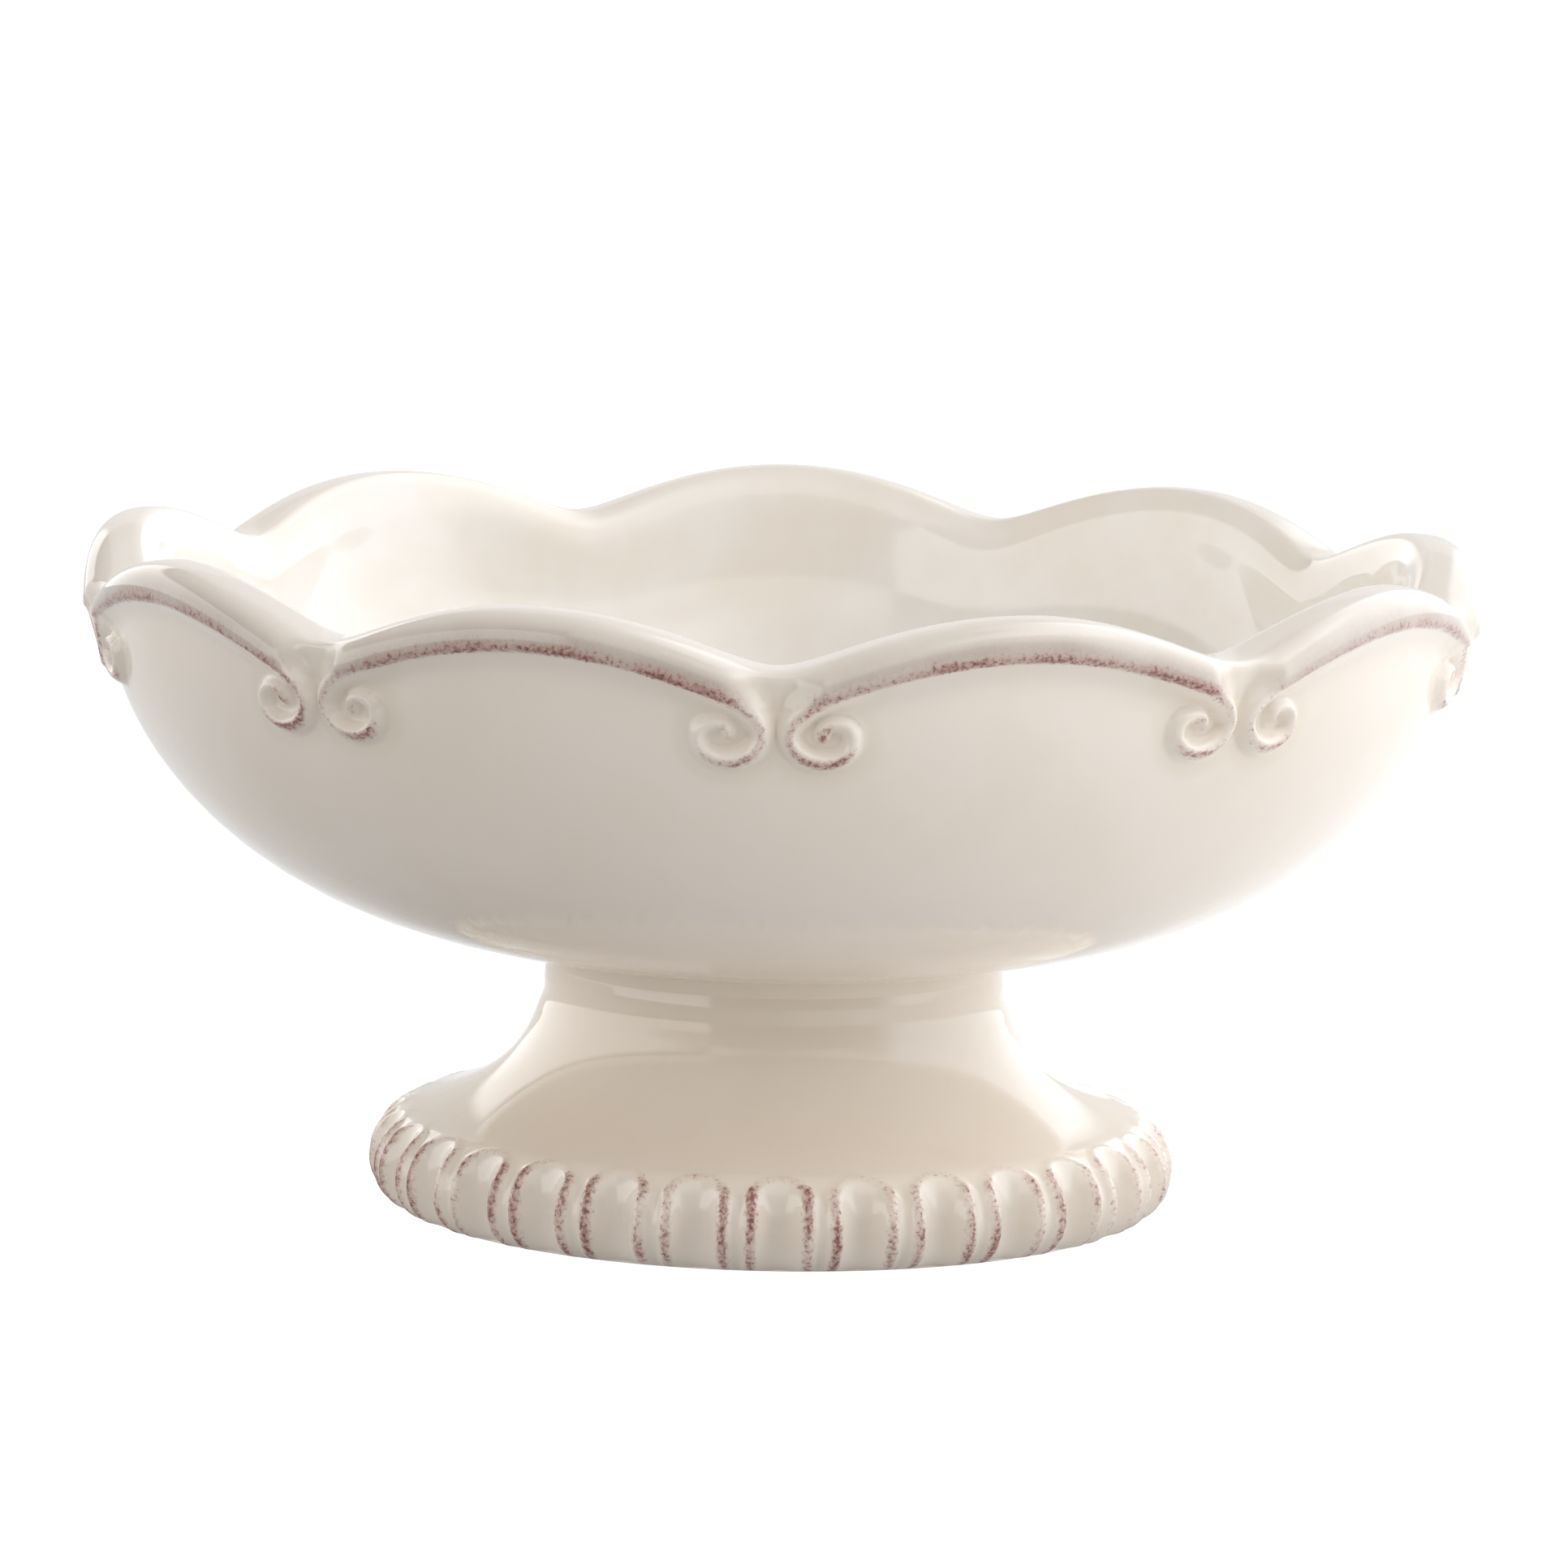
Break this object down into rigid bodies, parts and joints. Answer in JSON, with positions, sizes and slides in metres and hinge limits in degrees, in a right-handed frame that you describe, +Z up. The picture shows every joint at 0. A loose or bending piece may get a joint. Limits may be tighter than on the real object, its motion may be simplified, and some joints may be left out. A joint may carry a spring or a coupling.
{
  "type": "pedestal trinket dish",
  "caption": "Round ceramic dish with a scalloped, scroll-edged rim on a hollow fluted pedestal foot, for keeping rings, keys and other small things on a dresser or table.",
  "frame": {"origin": "centre of the foot's resting ring, on the table", "axes": "+Z up along the dish's axis; a cusp of the rim faces -Y"},
  "size_m": [0.152, 0.1518, 0.0735],
  "materials": {
    "ivory_glaze_bowl": "glossy ivory glaze over a brown stain rubbed on the relief",
    "luting_slip": "fired slip under glaze",
    "ivory_glaze_foot": "glossy ivory glaze over a brown stain rubbed on the flutes"
  },
  "bodies": {
    "root": {"bowl": "ivory_glaze_bowl", "luting_slip_ring": "luting_slip", "pedestal_foot": "ivory_glaze_foot"}
  },
  "joints": []
}
